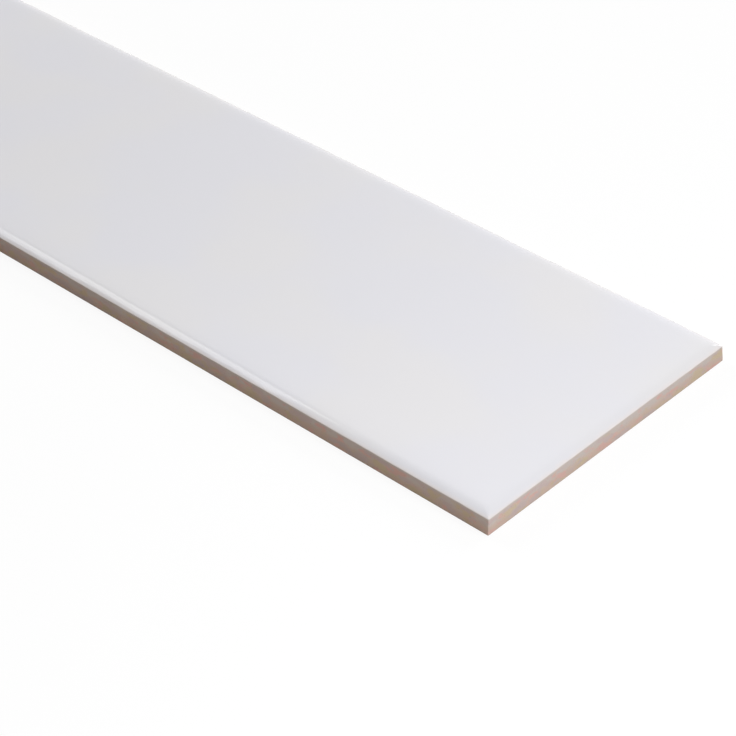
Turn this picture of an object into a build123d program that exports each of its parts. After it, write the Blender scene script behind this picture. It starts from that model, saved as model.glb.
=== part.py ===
from build123d import *
import math
import os

# A glazed wall tile with cushioned edges, drafted sides and a keyed back, lying face up.
# The origin is the centre of its footprint, +X runs along the long edges, +Z out of the face.

os.makedirs("parts", exist_ok=True)

# Overall size, in mm; length and width are measured where the sides meet the bed
tile_length = 300.0
tile_width = 100.0
tile_thickness = 6.0

# Cushion round the glazed face: a faint crown on the flat, then a rounded shoulder
crown_reach = 5.5
crown_drop = 0.07
shoulder_reach = 3.7
shoulder_drop = 0.9

# Sides left by the press: they lean in towards the face, with softened arrises
side_draft = 0.4
corner_radius = 0.3
glaze_line_radius = 0.25
foot_radius = 0.25

# Key on the back: a waffle of shallow pockets inside a plain rim, which grips the adhesive
key_pocket = 16.5
key_rib = 3.5
key_rim = 10.0
key_depth = 0.7
key_wall_angle = 30.0
key_corner_radius = 2.0

# Heights and distances that follow from the sizes above
glaze_line_height = tile_thickness - crown_drop - shoulder_drop
draft_angle = math.degrees(math.atan2(side_draft, glaze_line_height))
key_pitch = key_pocket + key_rib
key_columns = int((tile_length - 2 * key_rim + key_rib) // key_pitch)
key_rows = int((tile_width - 2 * key_rim + key_rib) // key_pitch)


def cushioned_section(overall: float) -> Sketch:
    """Cross-section between two opposite sides: flat face, crown and shoulder at each end."""
    foot = overall / 2
    glaze_line = foot - side_draft
    shoulder_start = glaze_line - shoulder_reach
    crown_start = shoulder_start - crown_reach
    with BuildSketch() as section:
        with BuildLine():
            face = Line((0, tile_thickness), (crown_start, tile_thickness))
            crown = TangentArc(
                face @ 1, (shoulder_start, tile_thickness - crown_drop), tangent=face % 1
            )
            shoulder = TangentArc(crown @ 1, (glaze_line, glaze_line_height), tangent=crown % 1)
            side = Line(shoulder @ 1, (foot, 0))
            Line(side @ 1, (0, 0))
            mirror(about=Plane.YZ)
        make_face()
        fillet(section.vertices().group_by(Axis.Y)[1], glaze_line_radius)
    return section.sketch


with BuildPart() as tile:
    # Pressed blank: sides drafted towards the face, meeting at lightly rounded corners
    with BuildSketch():
        Rectangle(tile_length, tile_width)
    extrude(amount=tile_thickness, taper=draft_angle)
    fillet(tile.edges().group_by(Axis.Z)[1], corner_radius)

    # Cushion along the two long edges
    with BuildSketch(Plane.YZ):
        add(cushioned_section(tile_width))
    extrude(amount=tile_length / 2, both=True, mode=Mode.INTERSECT)

    # Cushion along the two short edges
    with BuildSketch(Plane.XZ):
        add(cushioned_section(tile_length))
    extrude(amount=tile_width / 2, both=True, mode=Mode.INTERSECT)

    # Softened arris round the foot
    fillet(tile.faces().sort_by(Axis.Z)[0].edges(), foot_radius)

    # Keyed back
    with BuildSketch():
        with GridLocations(key_pitch, key_pitch, key_columns, key_rows):
            RectangleRounded(key_pocket, key_pocket, key_corner_radius)
    extrude(amount=key_depth, taper=key_wall_angle, mode=Mode.SUBTRACT)

tile.part.label = "tile"
export_step(tile.part, "parts/tile.step")
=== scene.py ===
import logging
import math
from collections.abc import Callable, Iterator
from dataclasses import dataclass, field
from enum import Enum

import bmesh
import bpy
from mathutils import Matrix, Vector


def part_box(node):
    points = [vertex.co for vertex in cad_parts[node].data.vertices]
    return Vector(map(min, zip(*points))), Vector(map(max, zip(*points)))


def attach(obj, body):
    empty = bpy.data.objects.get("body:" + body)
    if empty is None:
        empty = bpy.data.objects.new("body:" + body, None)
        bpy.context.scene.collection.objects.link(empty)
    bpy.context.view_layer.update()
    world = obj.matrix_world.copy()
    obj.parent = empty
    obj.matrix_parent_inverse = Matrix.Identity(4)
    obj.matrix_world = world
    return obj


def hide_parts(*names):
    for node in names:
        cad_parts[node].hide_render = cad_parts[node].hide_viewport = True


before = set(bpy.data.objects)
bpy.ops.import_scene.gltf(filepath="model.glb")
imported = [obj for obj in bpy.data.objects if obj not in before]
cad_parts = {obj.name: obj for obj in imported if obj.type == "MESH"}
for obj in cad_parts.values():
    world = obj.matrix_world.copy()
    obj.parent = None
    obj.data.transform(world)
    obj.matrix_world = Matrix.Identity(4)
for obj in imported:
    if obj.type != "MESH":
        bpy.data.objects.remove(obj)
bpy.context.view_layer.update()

log = logging.getLogger("tile")
MM = 0.001
CENTRE = (0.0, 0.0, 0.0)
TOUCH = MM / 1000  # heights that differ by less than this count as the same
FACES_DOWN = -0.99  # normal.z is below this on a face that looks straight down
OVERHANG = -0.2  # normal.z is below this under the lip of the glaze
UPRIGHT = -0.05  # normal.z is above this on the sides and on the face
FACES_UP = 0.9  # normal.z is above this on a face that looks up
Colour = tuple[float, float, float]
Span = tuple[float, float]


class Zone(Enum):
    """The three surfaces of the fired tile, by the index of their material slot."""

    SIDE = 0
    GLAZE = 1
    BACK = 2


# Working on a mesh by hand


def deselect_all() -> None:
    """Leave nothing selected, the nodes that came with the frame among them."""
    bpy.ops.object.select_all(action="DESELECT")


def start_edit(piece: bpy.types.Object) -> None:
    """Make the piece the only one selected and open it in edit mode.

    Args:
        piece: The piece to edit.
    """
    deselect_all()
    piece.select_set(True)
    bpy.context.view_layer.objects.active = piece
    bpy.ops.object.mode_set(mode="EDIT")


def end_edit() -> None:
    """Go back to object mode."""
    bpy.ops.object.mode_set(mode="OBJECT")


def pick(piece: bpy.types.Object, kind: str, wanted: Callable[..., bool]) -> int:
    """Select some elements of a piece that is open in edit mode, and nothing else.

    Args:
        piece: The piece being edited.
        kind: "verts", "edges" or "faces".
        wanted: Says of one element whether it is selected.

    Returns:
        How many elements were selected.
    """
    modes = {"verts": "VERT", "edges": "EDGE", "faces": "FACE"}
    bpy.ops.mesh.select_mode(type=modes[kind])
    bpy.ops.mesh.select_all(action="DESELECT")
    mesh = bmesh.from_edit_mesh(piece.data)
    found = [element for element in getattr(mesh, kind) if wanted(element)]
    for element in found:
        element.select_set(True)
    mesh.select_flush_mode()
    bmesh.update_edit_mesh(piece.data)
    return len(found)


def resize(x: float, y: float, about: tuple[float, float, float] = CENTRE) -> None:
    """Scale what is selected in plan about one point.

    Args:
        x: Factor along X.
        y: Factor along Y.
        about: The point that stays where it is.
    """
    bpy.ops.transform.resize(value=(x, y, 1.0), center_override=about)


def cut(piece: bpy.types.Object, axis: int, place: float, wanted: Callable[..., bool]) -> None:
    """Bisect some faces with an upright plane.

    Args:
        piece: The piece being edited.
        axis: 0 for a plane square to X, 1 for one square to Y.
        place: Where the plane crosses that axis.
        wanted: Says of one face whether it is cut.
    """
    normal = Vector((0.0, 0.0, 0.0))
    normal[axis] = 1.0
    pick(piece, "faces", wanted)
    bpy.ops.mesh.bisect(plane_co=tuple(normal * place), plane_no=tuple(normal))


def apply_modifier(piece: bpy.types.Object, modifier: bpy.types.Modifier) -> None:
    """Apply one modifier to the piece's mesh.

    Args:
        piece: The piece that carries it.
        modifier: The modifier.
    """
    with bpy.context.temp_override(object=piece, active_object=piece):
        bpy.ops.object.modifier_apply(modifier=modifier.name)


# The tile


@dataclass(frozen=True)
class Cushion:
    """Rounding of the glazed face towards its edges: a faint crown, then a shoulder.

    Distances are measured in plan from the glaze line, which runs round the tile where
    the face meets the sides.
    """

    crown_reach: float = 5.5 * MM
    crown_drop: float = 0.07 * MM
    shoulder_reach: float = 3.7 * MM
    shoulder_drop: float = 0.9 * MM
    crown_steps: int = 4
    shoulder_steps: int = 12

    @property
    def drop(self) -> float:
        """Height from the flat of the face down to the glaze line."""
        return self.crown_drop + self.shoulder_drop

    @property
    def crown_radius(self) -> float:
        """Radius of the arc that leaves the flat."""
        return (self.crown_reach**2 + self.crown_drop**2) / (2 * self.crown_drop)

    @property
    def crown_slope(self) -> float:
        """Slope, in radians, where the crown runs into the shoulder."""
        return math.asin(self.crown_reach / self.crown_radius)

    @property
    def shoulder_radius(self) -> float:
        """Radius of the arc that carries the crown on down to the glaze line.

        Returns:
            The radius at which the arc leaves the crown with no kink.
        """
        chord = math.hypot(self.shoulder_reach, self.shoulder_drop)
        chord_slope = math.atan2(self.shoulder_drop, self.shoulder_reach)
        return chord / (2 * math.sin(chord_slope - self.crown_slope))

    @property
    def end_slope(self) -> float:
        """Slope, in radians, at the glaze line."""
        chord_slope = math.atan2(self.shoulder_drop, self.shoulder_reach)
        return 2 * chord_slope - self.crown_slope

    def rings(self) -> Iterator[tuple[float, float]]:
        """Walk up the cushion from just above the glaze line to the flat.

        Yields:
            Distance in from the glaze line, and depth below the flat.
        """
        radius, first, last = self.shoulder_radius, self.end_slope, self.crown_slope
        for step in range(1, self.shoulder_steps + 1):
            slope = first + (last - first) * step / self.shoulder_steps
            reach = self.shoulder_reach - radius * (math.sin(slope) - math.sin(last))
            yield reach, self.crown_drop + radius * (math.cos(last) - math.cos(slope))
        for step in range(1, self.crown_steps + 1):
            slope = self.crown_slope * (1 - step / self.crown_steps)
            reach = self.shoulder_reach + self.crown_reach - self.crown_radius * math.sin(slope)
            yield reach, self.crown_radius * (1 - math.cos(slope))


@dataclass(frozen=True)
class BackKey:
    """Waffle of shallow pockets on the back, which the adhesive grips.

    The bevel that rounds a pocket's corners is measured in its slanting walls. The offset
    given here makes their radius about 2 mm in plan.
    """

    pocket: float = 16.5 * MM
    rib: float = 3.5 * MM
    columns: int = 14
    rows: int = 4
    depth: float = 0.7 * MM
    wall_run: float = 0.35 * MM
    arris_run: float = 0.11 * MM
    arris_drop: float = 0.09 * MM
    corner_offset: float = 1.65 * MM
    corner_steps: int = 8

    @property
    def pitch(self) -> float:
        """Distance from one pocket to the next."""
        return self.pocket + self.rib

    def centres(self, count: int) -> list[float]:
        """Find the pockets' middles along one axis.

        Args:
            count: How many pockets there are along it.

        Returns:
            Their places, from the tile's middle.
        """
        return [(index - (count - 1) / 2) * self.pitch for index in range(count)]

    def borders(self, count: int) -> list[float]:
        """Find the borders of the pockets' cells along one axis, in the middle of the ribs.

        Args:
            count: How many pockets there are along it.

        Returns:
            The borders' places, from the tile's middle.
        """
        return [(index - count / 2) * self.pitch for index in range(count + 1)]

    def is_cell(self, face: bmesh.types.BMFace) -> bool:
        """Say whether a face of the back is a cell that gets a pocket.

        Args:
            face: A face of the piece being edited.

        Returns:
            Whether it looks down and its middle is a pocket's.
        """
        middle = face.calc_center_median()
        near = self.pocket / 4
        return (
            face.normal.z < FACES_DOWN
            and any(abs(middle.x - x) < near for x in self.centres(self.columns))
            and any(abs(middle.y - y) < near for y in self.centres(self.rows))
        )

    def is_corner(self, edge: bmesh.types.BMEdge) -> bool:
        """Say whether an edge runs down a corner of a pocket.

        Args:
            edge: An edge of the piece being edited.

        Returns:
            Whether it slants, and lies low down among the pockets.
        """
        first, second = (vert.co for vert in edge.verts)
        return (
            abs(first.z - second.z) > self.arris_drop / 2
            and max(first.z, second.z) < 2 * self.depth
            and abs(first.x) < self.columns * self.pitch / 2
            and abs(first.y) < self.rows * self.pitch / 2
        )


@dataclass
class Tile:
    """The fired tile: biscuit sides and a keyed back under a cushioned, glazed face."""

    low: Vector
    high: Vector
    cushion: Cushion = field(default_factory=Cushion)
    key: BackKey = field(default_factory=BackKey)
    side_draft: float = 0.4 * MM
    corner_radius: float = 0.3 * MM
    corner_steps: int = 6
    corner_opening: float = 0.45
    corner_margin: float = 1.05
    foot_radius: float = 0.25 * MM
    foot_steps: int = 3
    arris_radius: float = 0.2 * MM
    arris_steps: int = 4
    glaze_overlap: float = 0.25 * MM
    glaze_lip: float = 0.03 * MM
    cut_pitch: float = 2.0 * MM
    smooth_angle: float = 32.0
    swell: float = 0.08 * MM
    swell_size: float = 20.0 * MM
    wander: float = 0.22 * MM
    wander_size: float = 6.0 * MM
    wander_fade: float = 0.6 * MM
    piece: bpy.types.Object | None = None
    outline: Vector = field(default_factory=lambda: Vector((0.0, 0.0)))
    radius: float = 0.0
    height: float = 0.0

    @property
    def thickness(self) -> float:
        """Height of the flat of the face above the bed."""
        return self.high.z - self.low.z

    @property
    def glaze_line(self) -> float:
        """Height at which the cushion would meet the sides with no arris."""
        return self.thickness - self.cushion.drop

    @property
    def glaze_end(self) -> float:
        """Height at which the glaze stops and the bare biscuit starts."""
        return self.glaze_line - self.glaze_overlap

    @property
    def foot(self) -> Vector:
        """Half the length and half the width at the foot."""
        return Vector((self.high.x - self.low.x, self.high.y - self.low.y)) / 2

    def side_inset(self, height: float) -> float:
        """How far the drafted side has leaned in at one height."""
        return self.side_draft * height / self.glaze_line

    def build(self, finishes: dict[Zone, bpy.types.Material]) -> bpy.types.Object:
        """Model the tile and dress it.

        Args:
            finishes: The material of each zone.

        Returns:
            The finished piece, with its place in its mesh.
        """
        self.press_blank()
        self.raise_face()
        self.press_key()
        self.refine()
        self.dress(finishes)
        self.settle_glaze()
        return self.piece

    def press_blank(self) -> None:
        """Make the biscuit below the glaze: a block with drafted sides and soft arrises."""
        self.height = self.glaze_end
        deselect_all()
        bpy.ops.mesh.primitive_cube_add(
            size=1.0,
            location=(0.0, 0.0, self.height / 2),
            scale=(2 * self.foot.x, 2 * self.foot.y, self.height),
        )
        self.piece = bpy.context.active_object
        self.piece.name = self.piece.data.name = "fired_tile"
        bpy.ops.object.transform_apply(location=True, rotation=True, scale=True)
        start_edit(self.piece)
        half = self.height / 2
        pick(
            self.piece,
            "edges",
            lambda edge: abs(edge.verts[0].co.z - edge.verts[1].co.z) > half,
        )
        bpy.ops.mesh.bevel(
            offset=self.corner_radius,
            offset_type="OFFSET",
            segments=self.corner_steps,
            affect="EDGES",
        )
        pick(self.piece, "faces", lambda face: face.normal.z > FACES_UP)
        lean = self.side_inset(self.height)
        resize(1 - lean / self.foot.x, 1 - lean / self.foot.y)
        self.outline = self.foot - Vector((lean, lean))
        self.radius = self.corner_radius
        pick(self.piece, "edges", lambda edge: max(vert.co.z for vert in edge.verts) < half)
        bpy.ops.mesh.bevel(
            offset=self.foot_radius,
            offset_type="OFFSET",
            segments=self.foot_steps,
            affect="EDGES",
        )
        end_edit()

    def face_rings(self) -> Iterator[tuple[float, float, float]]:
        """Walk up from the end of the glaze to the flat of the face.

        Yields:
            Distance in from the foot, height, and corner radius of each ring.
        """
        lip = self.glaze_lip
        height = self.glaze_end + lip
        yield self.side_inset(height) - lip, height, self.corner_radius
        side_slope = math.atan2(self.glaze_line, self.side_draft)
        end_slope = self.cushion.end_slope
        tangent = self.arris_radius * math.tan((side_slope - end_slope) / 2)
        inset = self.side_draft - tangent * math.cos(side_slope)
        height = self.glaze_line - tangent * math.sin(side_slope)
        yield inset - lip / 2, height, self.corner_radius
        for step in range(1, self.arris_steps + 1):
            slope = side_slope + (end_slope - side_slope) * step / self.arris_steps
            yield (
                inset + self.arris_radius * (math.sin(side_slope) - math.sin(slope)),
                height + self.arris_radius * (math.cos(slope) - math.cos(side_slope)),
                self.corner_radius,
            )
        for reach, below in self.cushion.rings():
            if reach > 2 * tangent:
                opened = self.corner_radius + self.corner_opening * reach
                yield self.side_draft + reach, self.thickness - below, opened

    def raise_face(self) -> None:
        """Extrude the glazed part ring by ring, opening its corners out as it climbs."""
        start_edit(self.piece)
        half = self.height / 2
        pick(
            self.piece,
            "faces",
            lambda face: face.normal.z > FACES_UP and face.calc_center_median().z > half,
        )
        for inset, height, radius in self.face_rings():
            bpy.ops.mesh.extrude_region_move(
                TRANSFORM_OT_translate={"value": (0.0, 0.0, height - self.height)}
            )
            outline = self.foot - Vector((inset, inset))
            resize(outline.x / self.outline.x, outline.y / self.outline.y)
            self.outline, self.height = outline, height
            if radius != self.radius:
                self.open_corners(radius)
        end_edit()

    def open_corners(self, radius: float) -> None:
        """Scale each corner arc of the selected top ring about its own sharp corner.

        Args:
            radius: The arcs' new radius.
        """
        level = self.height - TOUCH
        reach = self.radius * self.corner_margin
        for x_side in (-1, 1):
            for y_side in (-1, 1):
                corner = (x_side * self.outline.x, y_side * self.outline.y, self.height)
                pick(
                    self.piece,
                    "verts",
                    lambda vert: vert.co.z > level
                    and abs(vert.co.x - corner[0]) < reach
                    and abs(vert.co.y - corner[1]) < reach,
                )
                resize(radius / self.radius, radius / self.radius, corner)
        self.radius = radius
        pick(self.piece, "faces", lambda face: min(vert.co.z for vert in face.verts) > level)

    def press_key(self) -> None:
        """Cut the back into cells and press a drafted pocket into each."""
        key = self.key
        start_edit(self.piece)
        for axis, count in ((0, key.columns), (1, key.rows)):
            for place in key.borders(count):
                cut(self.piece, axis, place, lambda face: face.normal.z < FACES_DOWN)
        count = pick(self.piece, "faces", key.is_cell)
        log.info("back key: %d pockets", count)
        for run, drop in (
            (key.rib / 2, 0.0),
            (key.arris_run, key.arris_drop),
            (key.wall_run, key.depth - key.arris_drop),
        ):
            bpy.ops.mesh.inset(thickness=run, depth=-drop, use_individual=True)
        pick(self.piece, "edges", key.is_corner)
        bpy.ops.mesh.bevel(
            offset=key.corner_offset,
            offset_type="OFFSET",
            segments=key.corner_steps,
            affect="EDGES",
        )
        end_edit()

    def refine(self) -> None:
        """Cut the face and sides into even strips, so that the glaze can swell and wander."""
        start_edit(self.piece)
        for axis, half in ((0, self.foot.x), (1, self.foot.y)):
            count = round(2 * half / self.cut_pitch)
            for index in range(1, count):
                place = -half + 2 * half * index / count
                cut(self.piece, axis, place, lambda face: face.normal.z > UPRIGHT)
        end_edit()

    def zone(self, face: bpy.types.MeshPolygon) -> Zone:
        """Tell which surface of the tile a face belongs to.

        Args:
            face: A face of the finished mesh.

        Returns:
            Its zone.
        """
        if face.center.z > self.glaze_end and face.normal.z > OVERHANG:
            return Zone.GLAZE
        rim = self.foot - Vector((MM, MM))
        inside = abs(face.center.x) < rim.x and abs(face.center.y) < rim.y
        if face.normal.z < FACES_DOWN or inside:
            return Zone.BACK
        return Zone.SIDE

    def dress(self, finishes: dict[Zone, bpy.types.Material]) -> None:
        """Give each face its finish and smooth the shading.

        Args:
            finishes: The material of each zone.
        """
        for zone in Zone:
            self.piece.data.materials.append(finishes[zone])
        for face in self.piece.data.polygons:
            face.material_index = self.zone(face).value
        deselect_all()
        self.piece.select_set(True)
        bpy.context.view_layer.objects.active = self.piece
        bpy.ops.object.shade_smooth_by_angle(angle=math.radians(self.smooth_angle))

    def swelling(self, height: float) -> float:
        """Say how much the glaze swells at one height: not at its edge, fully on the flat."""
        return (height - self.glaze_line) / self.cushion.drop

    def wandering(self, height: float) -> float:
        """Say how much the glaze's edge wanders at one height: fully up to the arris."""
        below = height < self.glaze_end - TOUCH
        return 0.0 if below else 1 - (height - self.glaze_line) / self.wander_fade

    def settle_glaze(self) -> None:
        """Let the glaze swell faintly over the face, and its lower edge wander."""
        parts = (
            ("swell", self.swell_size, self.swell, self.swelling),
            ("wander", self.wander_size, self.wander, self.wandering),
        )
        for name, size, depth, share in parts:
            group = self.piece.vertex_groups.new(name=name)
            for vert in self.piece.data.vertices:
                weight = min(share(vert.co.z), 1.0)
                if weight > 0:
                    group.add([vert.index], weight, "REPLACE")
            texture = bpy.data.textures.new(name, "CLOUDS")
            texture.noise_scale = size
            texture.noise_depth = 1
            modifier = self.piece.modifiers.new(name, "DISPLACE")
            modifier.texture = texture
            modifier.texture_coords = "LOCAL"
            modifier.direction = "Z"
            modifier.mid_level = 0.5
            modifier.strength = depth
            modifier.vertex_group = group.name
            apply_modifier(self.piece, modifier)


# Finishes


class Recipe:
    """A material's node tree, with short ways to add what the finishes need."""

    def __init__(self, name: str) -> None:
        """Start a material that holds only its shader and output.

        Args:
            name: The material's name.
        """
        self.material = bpy.data.materials.new(name)
        self.material.use_nodes = True
        self.nodes = self.material.node_tree.nodes
        self.links = self.material.node_tree.links
        self.shader = self.nodes["Principled BSDF"]
        self.place = self.nodes.new("ShaderNodeTexCoord").outputs["Object"]

    def stretched(self, x: float, y: float, z: float) -> bpy.types.NodeSocket:
        """Scale the place at which a pattern is read.

        Args:
            x: Factor along X.
            y: Factor along Y.
            z: Factor along Z; below 1 draws the pattern out in height.

        Returns:
            The scaled place.
        """
        node = self.nodes.new("ShaderNodeMapping")
        node.inputs["Scale"].default_value = (x, y, z)
        self.links.new(self.place, node.inputs["Vector"])
        return node.outputs["Vector"]

    def noise(
        self,
        size: float,
        seed: float,
        detail: float = 2.0,
        roughness: float = 0.5,
        at: bpy.types.NodeSocket | None = None,
    ) -> bpy.types.NodeSocket:
        """Add a noise pattern.

        Args:
            size: Size of its blotches, in metres.
            seed: Which cut through the noise is taken.
            detail: Octaves of finer noise.
            roughness: Share that each finer octave keeps.
            at: Place at which it is read, if not the plain one.

        Returns:
            The pattern's value, about 0.5 on average.
        """
        node = self.nodes.new("ShaderNodeTexNoise")
        node.noise_dimensions = "4D"
        node.inputs["Scale"].default_value = 1.0 / size
        node.inputs["Detail"].default_value = detail
        node.inputs["Roughness"].default_value = roughness
        node.inputs["W"].default_value = seed
        self.links.new(at or self.place, node.inputs["Vector"])
        return node.outputs["Fac"]

    def ramp(
        self, value: bpy.types.NodeSocket, low: float, high: float
    ) -> bpy.types.NodeSocket:
        """Spread the part of a value between two bounds over 0 to 1.

        Args:
            value: The value.
            low: The bound that becomes 0.
            high: The bound that becomes 1.

        Returns:
            The spread value, level outside the bounds.
        """
        node = self.nodes.new("ShaderNodeMapRange")
        node.interpolation_type = "SMOOTHSTEP"
        node.inputs["From Min"].default_value = low
        node.inputs["From Max"].default_value = high
        self.links.new(value, node.inputs["Value"])
        return node.outputs["Result"]

    def blend(
        self,
        share: bpy.types.NodeSocket,
        first: bpy.types.NodeSocket | Colour,
        second: bpy.types.NodeSocket | Colour,
    ) -> bpy.types.NodeSocket:
        """Mix two colours.

        Args:
            share: How much of the second colour there is.
            first: The colour where the share is 0.
            second: The colour where the share is 1.

        Returns:
            The mixed colour.
        """
        node = self.nodes.new("ShaderNodeMix")
        node.data_type = "RGBA"
        self.links.new(share, node.inputs["Factor"])
        for name, colour in (("A", first), ("B", second)):
            socket = next(s for s in node.inputs if s.name == name and s.type == "RGBA")
            if isinstance(colour, tuple):
                socket.default_value = (*colour, 1.0)
            else:
                self.links.new(colour, socket)
        return next(s for s in node.outputs if s.type == "RGBA")

    def height(self) -> bpy.types.NodeSocket:
        """Add the height above the bed, in metres.

        Returns:
            The height.
        """
        node = self.nodes.new("ShaderNodeSeparateXYZ")
        self.links.new(self.place, node.inputs["Vector"])
        return node.outputs["Z"]

    def waver(
        self, value: bpy.types.NodeSocket, pattern: bpy.types.NodeSocket, reach: float
    ) -> bpy.types.NodeSocket:
        """Shift a value up and down by a pattern.

        Args:
            value: The value to shift.
            pattern: A pattern from 0 to 1, about 0.5 on average.
            reach: The whole range of the shift.

        Returns:
            The shifted value, the same on average.
        """
        centred = self.nodes.new("ShaderNodeMath")
        centred.operation = "SUBTRACT"
        centred.inputs[1].default_value = 0.5
        self.links.new(pattern, centred.inputs[0])
        node = self.nodes.new("ShaderNodeMath")
        node.operation = "MULTIPLY_ADD"
        node.inputs[1].default_value = reach
        self.links.new(centred.outputs["Value"], node.inputs[0])
        self.links.new(value, node.inputs[2])
        return node.outputs["Value"]

    def bump(self, value: bpy.types.NodeSocket, depth: float, strength: float = 1.0) -> None:
        """Raise the surface by a pattern, over any bump that is there already.

        Args:
            value: The pattern, from 0 to 1.
            depth: Height of the relief where it is 1, in metres.
            strength: How much of the relief shows.
        """
        node = self.nodes.new("ShaderNodeBump")
        node.inputs["Strength"].default_value = strength
        node.inputs["Distance"].default_value = depth
        self.links.new(value, node.inputs["Height"])
        normal = self.shader.inputs["Normal"]
        if normal.is_linked:
            self.links.new(normal.links[0].from_socket, node.inputs["Normal"])
        self.links.new(node.outputs["Normal"], normal)

    def roughness(self, value: bpy.types.NodeSocket, low: float, high: float) -> None:
        """Let a pattern drive the roughness.

        Args:
            value: The pattern, from 0 to 1.
            low: Roughness where it is 0.
            high: Roughness where it is 1.
        """
        node = self.nodes.new("ShaderNodeMapRange")
        node.inputs["To Min"].default_value = low
        node.inputs["To Max"].default_value = high
        self.links.new(value, node.inputs["Value"])
        self.links.new(node.outputs["Result"], self.shader.inputs["Roughness"])

    def finish(self, colour: bpy.types.NodeSocket, ior: float) -> bpy.types.Material:
        """Set the shader's colour and index of refraction.

        Args:
            colour: The base colour.
            ior: The index of refraction.

        Returns:
            The finished material.
        """
        self.links.new(colour, self.shader.inputs["Base Color"])
        self.shader.inputs["IOR"].default_value = ior
        return self.material


@dataclass(frozen=True)
class WhiteGlaze:
    """Glossy white glaze, faintly clouded, which blushes pink and thins towards its edge; the
    blush is also a little lighter than the glaze, a faint painted highlight along the edge.
    """

    end: float
    white: Colour = (0.782, 0.772, 0.788)
    cool: Colour = (0.768, 0.764, 0.804)
    # Pink where the glaze thins over the body, and a little lighter than the glaze: partly real
    # colour, partly a painted highlight along the edge.
    blush_and_highlight: Colour = (0.820, 0.775, 0.772)
    blush_and_highlight_band: float = 0.75 * MM
    thin: Colour = (0.68, 0.61, 0.59)
    thin_band: float = 0.13 * MM
    waver_size: float = 2.5 * MM
    blush_and_highlight_waver: float = 0.5 * MM
    thin_waver: float = 0.12 * MM
    cloud_size: float = 45.0 * MM
    cloud_span: Span = (0.38, 0.62)
    smear_size: float = 12.0 * MM
    roughness: Span = (0.07, 0.13)
    peel_size: float = 4.0 * MM
    peel_depth: float = 0.012 * MM
    ior: float = 1.52

    def material(self) -> bpy.types.Material:
        """Make the material.

        Returns:
            The glaze.
        """
        recipe = Recipe("fired_glaze")
        clouds = recipe.noise(self.cloud_size, seed=1.0)
        body = recipe.blend(recipe.ramp(clouds, *self.cloud_span), self.white, self.cool)
        waver = recipe.noise(self.waver_size, seed=4.0, detail=1.0)
        # The blush band: pinker glaze near the edge, also lighter as a painted highlight.
        blush_and_highlight_height = recipe.waver(recipe.height(), waver, self.blush_and_highlight_waver)
        clear = recipe.ramp(blush_and_highlight_height, self.end + self.thin_band, self.end + self.blush_and_highlight_band)
        colour = recipe.blend(clear, self.blush_and_highlight, body)
        thinning = recipe.waver(recipe.height(), waver, self.thin_waver)
        thick = recipe.ramp(thinning, self.end, self.end + self.thin_band)
        colour = recipe.blend(thick, self.thin, colour)
        smears = recipe.noise(self.smear_size, seed=2.0, detail=3.0)
        recipe.roughness(smears, *self.roughness)
        recipe.bump(recipe.noise(self.peel_size, seed=3.0, detail=1.5), self.peel_depth)
        return recipe.finish(colour, ior=self.ior)


@dataclass(frozen=True)
class Biscuit:
    """Unglazed, porous fired clay: buff, with pink, straw and lilac blotches."""

    buff: Colour = (0.715, 0.598, 0.544)
    pink: Colour = (0.775, 0.555, 0.525)
    straw: Colour = (0.700, 0.612, 0.480)
    lilac: Colour = (0.676, 0.587, 0.592)
    pore: Colour = (0.40, 0.29, 0.23)
    grog: Colour = (0.82, 0.74, 0.66)
    pink_size: float = 2.0 * MM
    straw_size: float = 2.8 * MM
    lilac_size: float = 2.3 * MM
    drawn_out: float = 0.5
    blotch_span: Span = (0.50, 0.62)
    grog_span: Span = (0.62, 0.74)
    pore_span: Span = (0.38, 0.26)
    roughness: Span = (0.80, 0.98)
    grain_size: float = 0.35 * MM
    grain_depth: float = 0.05 * MM
    grain_strength: float = 0.6
    dent_size: float = 1.6 * MM
    dent_depth: float = 0.06 * MM
    dent_strength: float = 0.5
    ior: float = 1.25

    def body(
        self, recipe: Recipe, ground: bpy.types.NodeSocket | Colour
    ) -> bpy.types.NodeSocket:
        """Add the clay's blotches, its grain, its roughness and its relief.

        Args:
            recipe: The material being made.
            ground: The colour between the blotches.

        Returns:
            The colour.
        """
        along = recipe.stretched(self.drawn_out, self.drawn_out, 1.0)
        colour = ground
        for blotch, size, seed in (
            (self.pink, self.pink_size, 11.0),
            (self.straw, self.straw_size, 12.0),
            (self.lilac, self.lilac_size, 17.0),
        ):
            spread = recipe.ramp(recipe.noise(size, seed=seed, at=along), *self.blotch_span)
            colour = recipe.blend(spread, colour, blotch)
        grain = recipe.noise(self.grain_size, seed=13.0, detail=3.0, roughness=0.7)
        colour = recipe.blend(recipe.ramp(grain, *self.grog_span), colour, self.grog)
        colour = recipe.blend(recipe.ramp(grain, *self.pore_span), colour, self.pore)
        recipe.roughness(grain, *self.roughness)
        recipe.bump(grain, self.grain_depth, self.grain_strength)
        dents = recipe.noise(self.dent_size, seed=15.0)
        recipe.bump(dents, self.dent_depth, self.dent_strength)
        return colour


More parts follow.
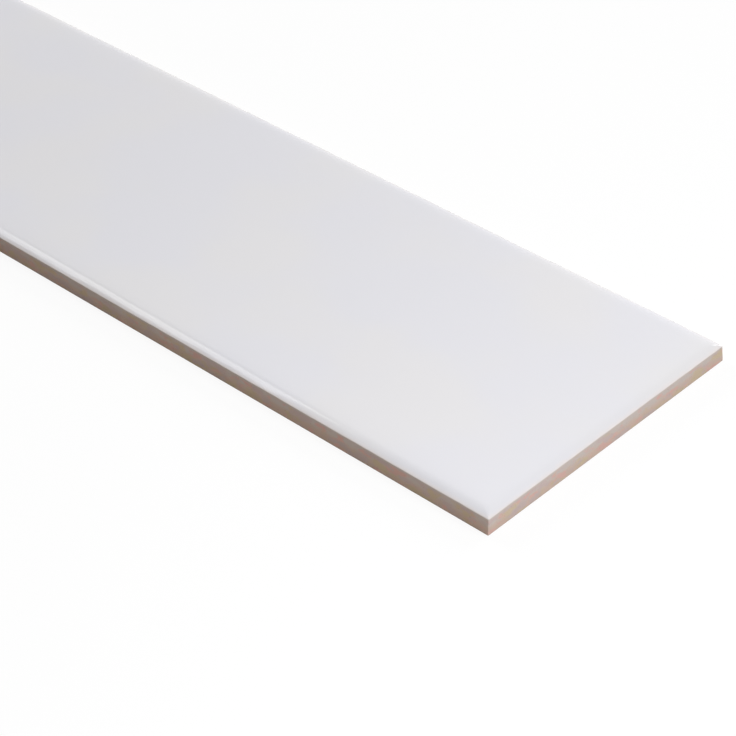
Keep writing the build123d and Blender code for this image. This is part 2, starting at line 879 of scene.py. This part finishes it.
@dataclass(frozen=True)
class PressedSide(Biscuit):
    """Biscuit of the sides: grey slip under the glaze, painted contact shade along the foot,
    faint streaks.
    """

    glaze_end: float = 0.0
    slip: Colour = (0.685, 0.646, 0.638)
    slip_start: float = 1.1 * MM
    slip_band: float = 1.9 * MM
    slip_line: float = 0.9 * MM
    waver_size: float = 2.0 * MM
    slip_waver: float = 1.6 * MM
    # Painted contact shade: the sides are darker towards the bed, where the floor shades them.
    foot: Colour = (0.46, 0.37, 0.31)
    foot_shade_band: float = 0.45 * MM
    streak_size: float = 0.5 * MM
    streak_drawn_out: float = 0.08
    streak_depth: float = 0.02 * MM
    streak_strength: float = 0.5

    def material(self) -> bpy.types.Material:
        """Make the material.

        Returns:
            The biscuit of the sides.
        """
        recipe = Recipe("side_biscuit")
        waver = recipe.noise(self.waver_size, seed=14.0)
        height = recipe.waver(recipe.height(), waver, self.slip_waver)
        full = self.glaze_end - self.slip_start
        near_glaze = recipe.ramp(height, full - self.slip_band, full)
        colour = self.body(recipe, recipe.blend(near_glaze, self.buff, self.slip))
        line = self.glaze_end - self.slip_line
        under_glaze = recipe.ramp(recipe.height(), line, self.glaze_end)
        colour = recipe.blend(under_glaze, colour, self.slip)
        # Painted contact shade: darken the sides over the last band above the bed.
        foot_shade = recipe.ramp(recipe.height(), self.foot_shade_band, 0.0)
        colour = recipe.blend(foot_shade, colour, self.foot)
        upright = recipe.stretched(1.0, 1.0, self.streak_drawn_out)
        streaks = recipe.noise(self.streak_size, seed=16.0, at=upright)
        recipe.bump(streaks, self.streak_depth, self.streak_strength)
        return recipe.finish(colour, ior=self.ior)


@dataclass(frozen=True)
class KeyedBack(Biscuit):
    """Biscuit of the back, whose rim and ribs carry patches of chalky kiln wash."""

    pink: Colour = (0.742, 0.580, 0.536)
    straw: Colour = (0.707, 0.604, 0.517)
    lilac: Colour = (0.697, 0.593, 0.566)
    rib_height: float = 0.25 * MM
    wash: Colour = (0.80, 0.76, 0.71)
    wash_size: float = 14.0 * MM
    wash_span: Span = (0.40, 0.62)
    scuff_size: float = 1.2 * MM
    scuff_share: float = 0.5

    def material(self) -> bpy.types.Material:
        """Make the material.

        Returns:
            The biscuit of the back.
        """
        recipe = Recipe("bed_biscuit")
        colour = self.body(recipe, self.buff)
        patches = recipe.noise(self.wash_size, seed=21.0, detail=3.0)
        scuffs = recipe.noise(self.scuff_size, seed=22.0, detail=3.0)
        scuffed = recipe.waver(patches, scuffs, self.scuff_share)
        washed = recipe.blend(recipe.ramp(scuffed, *self.wash_span), colour, self.wash)
        on_ribs = recipe.ramp(recipe.height(), self.rib_height, 0.0)
        return recipe.finish(recipe.blend(on_ribs, colour, washed), ior=self.ior)


# The studio


def stand(thing: bpy.types.Object, aim: Vector, away: Vector, distance: float) -> None:
    """Put a camera or lamp at a distance from a point, turned to face the point.

    Args:
        thing: The camera or lamp.
        aim: The point.
        away: Direction from the point to it, of length 1.
        distance: How far away it stands.
    """
    thing.location = aim + away * distance
    thing.rotation_mode = "QUATERNION"
    thing.rotation_quaternion = (-away).to_track_quat("-Z", "Y")
    bpy.context.scene.collection.objects.link(thing)


@dataclass(frozen=True)
class Viewpoint:
    """The camera, where the photograph's edges say that it stood.

    Its azimuth is measured from the tile's -Y axis towards +X.
    """

    azimuth: float = 42.57
    elevation: float = 36.974
    aim: tuple[float, float, float] = (80.33 * MM, -18.69 * MM, 0.0)
    distance: float = 655.9 * MM
    focal_pixels: float = 2393.2
    image_pixels: float = 736.0
    sensor: float = 36.0

    def set_up(self) -> None:
        """Add the camera and make it the scene's own."""
        around, up = math.radians(self.azimuth), math.radians(self.elevation)
        back = Vector(
            (math.sin(around) * math.cos(up), -math.cos(around) * math.cos(up), math.sin(up))
        )
        data = bpy.data.cameras.new("view")
        data.sensor_width = self.sensor
        data.lens = self.focal_pixels * self.sensor / self.image_pixels
        data.clip_start, data.clip_end = 0.01, 50.0
        camera = bpy.data.objects.new("view", data)
        stand(camera, Vector(self.aim), back, self.distance)
        bpy.context.scene.camera = camera


@dataclass(frozen=True)
class Softbox:
    """One soft lamp, turned towards the middle of the tile.

    Its azimuth is measured from the tile's +X axis towards +Y.
    """

    name: str
    azimuth: float
    elevation: float
    distance: float
    width: float
    height: float
    power: float

    def set_up(self) -> None:
        """Add the lamp."""
        around, up = math.radians(self.azimuth), math.radians(self.elevation)
        away = Vector(
            (math.cos(around) * math.cos(up), math.sin(around) * math.cos(up), math.sin(up))
        )
        data = bpy.data.lights.new(self.name, "AREA")
        data.shape = "RECTANGLE"
        data.size, data.size_y = self.width, self.height
        data.energy = self.power
        lamp = bpy.data.objects.new(self.name, data)
        stand(lamp, Vector(CENTRE), away, self.distance)


@dataclass(frozen=True)
class Studio:
    """White floor and surround, and the soft lamps."""

    floor_size: float = 40.0
    floor_colour: Colour = (0.60, 0.485, 0.385)
    seen_floor_colour: Colour = (1.0, 1.0, 1.0)
    shadow_share: float = 0.12
    fill: float = 0.01
    lamps: tuple[Softbox, ...] = (
        Softbox("key", 10.0, 48.0, 0.75, 0.45, 0.45, 2.68),
        Softbox("back", 85.0, 25.0, 1.50, 0.75, 0.75, 11.1),
        Softbox("left", 175.0, 22.0, 1.50, 0.75, 0.75, 13.5),
        Softbox("front", 330.0, 35.0, 0.50, 0.15, 0.15, 0.48),
        Softbox("strip", 169.5, 51.0, 0.90, 0.26, 0.29, 0.60),
    )

    def set_up(self) -> None:
        """Build the surround, the floor and the lamps."""
        bpy.context.scene.view_settings.view_transform = "Standard"
        self.add_surround()
        self.add_floor()
        for lamp in self.lamps:
            lamp.set_up()
        log.info("studio: %d soft lamps", len(self.lamps))

    def seen(self, tree: bpy.types.NodeTree) -> bpy.types.NodeSocket:
        """Add a value that is 1 for what the camera, a mirror or glass shows, and else 0.

        Args:
            tree: The node tree to add it to.

        Returns:
            The value.
        """
        path = tree.nodes.new("ShaderNodeLightPath")
        value = path.outputs["Is Camera Ray"]
        for name in ("Is Glossy Ray", "Is Transmission Ray"):
            larger = tree.nodes.new("ShaderNodeMath")
            larger.operation = "MAXIMUM"
            tree.links.new(value, larger.inputs[0])
            tree.links.new(path.outputs[name], larger.inputs[1])
            value = larger.outputs["Value"]
        return value

    def add_surround(self) -> None:
        """Add a surround that is white to look at, and gives a faint even fill."""
        world = bpy.data.worlds.new("surround")
        world.use_nodes = True
        bpy.context.scene.world = world
        tree = world.node_tree
        background = tree.nodes["Background"]
        background.inputs["Color"].default_value = (1.0, 1.0, 1.0, 1.0)
        strength = tree.nodes.new("ShaderNodeMapRange")
        strength.inputs["To Min"].default_value = self.fill
        strength.inputs["To Max"].default_value = 1.0
        tree.links.new(self.seen(tree), strength.inputs["Value"])
        tree.links.new(strength.outputs["Result"], background.inputs["Strength"])

    def add_floor(self) -> None:
        """Add a white floor that still shows a light shadow of the tile."""
        deselect_all()
        bpy.ops.mesh.primitive_plane_add(size=self.floor_size, location=CENTRE)
        floor = bpy.context.active_object
        floor.name = "floor"
        recipe = Recipe("white_floor")
        tree = recipe.material.node_tree
        seen = self.seen(tree)
        colour = recipe.blend(seen, self.floor_colour, self.seen_floor_colour)
        tree.links.new(colour, recipe.shader.inputs["Base Color"])
        recipe.shader.inputs["Roughness"].default_value = 1.0
        recipe.shader.inputs["Specular IOR Level"].default_value = 0.0
        glow = tree.nodes.new("ShaderNodeEmission")
        glow.inputs["Strength"].default_value = 1.0
        glow.inputs["Color"].default_value = (1.0, 1.0, 1.0, 1.0)
        share = tree.nodes.new("ShaderNodeMapRange")
        share.inputs["To Max"].default_value = 1.0 - self.shadow_share
        tree.links.new(seen, share.inputs["Value"])
        mix = tree.nodes.new("ShaderNodeMixShader")
        tree.links.new(share.outputs["Result"], mix.inputs["Fac"])
        tree.links.new(recipe.shader.outputs["BSDF"], mix.inputs[1])
        tree.links.new(glow.outputs["Emission"], mix.inputs[2])
        tree.links.new(mix.outputs["Shader"], tree.nodes["Material Output"].inputs["Surface"])
        floor.data.materials.append(recipe.material)


def main() -> None:
    """Build the tile in the frame, dress it and light it."""
    logging.basicConfig(level=logging.INFO, format="%(name)s: %(message)s")
    low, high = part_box("tile")
    tile = Tile(low, high)
    finishes = {
        Zone.SIDE: PressedSide(glaze_end=tile.glaze_end).material(),
        Zone.GLAZE: WhiteGlaze(tile.glaze_end).material(),
        Zone.BACK: KeyedBack().material(),
    }
    piece = tile.build(finishes)
    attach(piece, "root")
    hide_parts("tile")
    log.info("%s: %d faces", piece.name, len(piece.data.polygons))
    Viewpoint().set_up()
    Studio().set_up()


if __name__ == "__main__":
    main()
